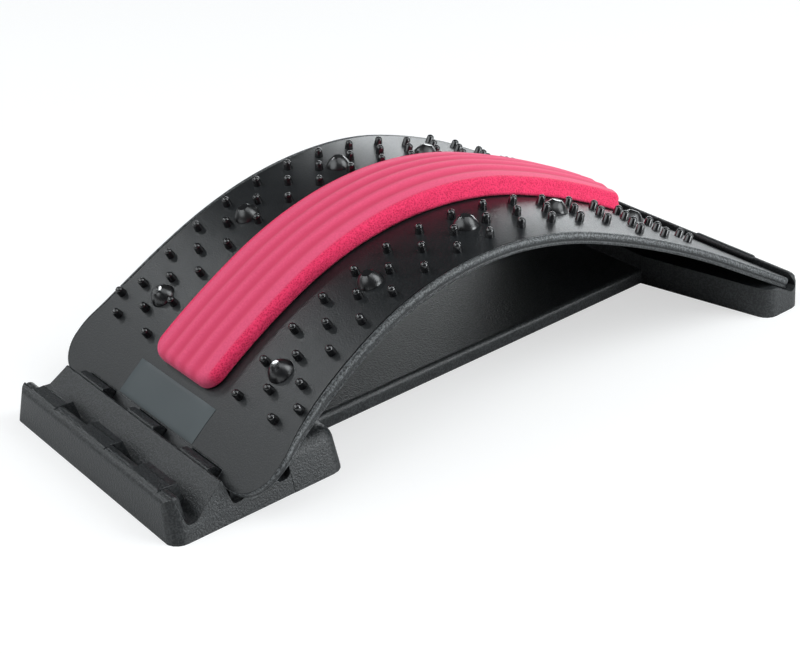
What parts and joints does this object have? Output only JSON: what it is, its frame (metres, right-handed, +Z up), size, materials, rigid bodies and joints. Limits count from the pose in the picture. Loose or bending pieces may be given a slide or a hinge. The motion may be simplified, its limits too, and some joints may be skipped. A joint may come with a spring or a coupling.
{
  "type": "back stretcher",
  "caption": "Arched lumbar stretcher: a studded flexible arch with a padded spine strip and massage domes, seated in a notched low base with stepped height grooves.",
  "frame": {"origin": "on the floor, under the centre of the whole object", "axes": "+X to the right across the width, +Y from the notched end to the hinge end, +Z up"},
  "size_m": [0.2468, 0.385, 0.0996],
  "materials": {
    "charcoal_abs": "fine-textured charcoal moulded plastic",
    "sheet_abs": "satin charcoal moulded plastic",
    "gloss_black": "polished black plastic",
    "pink_foam": "smooth-skinned soft foam with fine open cells at its cut sides",
    "tape_film": "thin adhesive film",
    "magnet_nickel": "dull plated disc"
  },
  "bodies": {
    "base": {"base_frame": "charcoal_abs"},
    "arch": {"arch_plate": "sheet_abs", "foam_pad": "pink_foam", "pad_tape": "tape_film", "dome_left_1": "gloss_black", "dome_left_2": "gloss_black", "dome_left_3": "gloss_black", "dome_left_4": "gloss_black", "dome_left_5": "gloss_black", "magnet_left_1": "magnet_nickel", "magnet_left_2": "magnet_nickel", "magnet_left_3": "magnet_nickel", "magnet_left_4": "magnet_nickel", "magnet_left_5": "magnet_nickel", "dome_right_1": "gloss_black", "dome_right_2": "gloss_black", "dome_right_3": "gloss_black", "dome_right_4": "gloss_black", "dome_right_5": "gloss_black", "magnet_right_1": "magnet_nickel", "magnet_right_2": "magnet_nickel", "magnet_right_3": "magnet_nickel", "magnet_right_4": "magnet_nickel", "magnet_right_5": "magnet_nickel"}
  },
  "joints": [
    {"name": "arch_hinge", "type": "hinge", "parent": "base", "child": "arch", "pos_m": [0, 0.1847, 0.01384], "axis": [-1, 0, 0], "range_deg": [0, 60]}
  ]
}
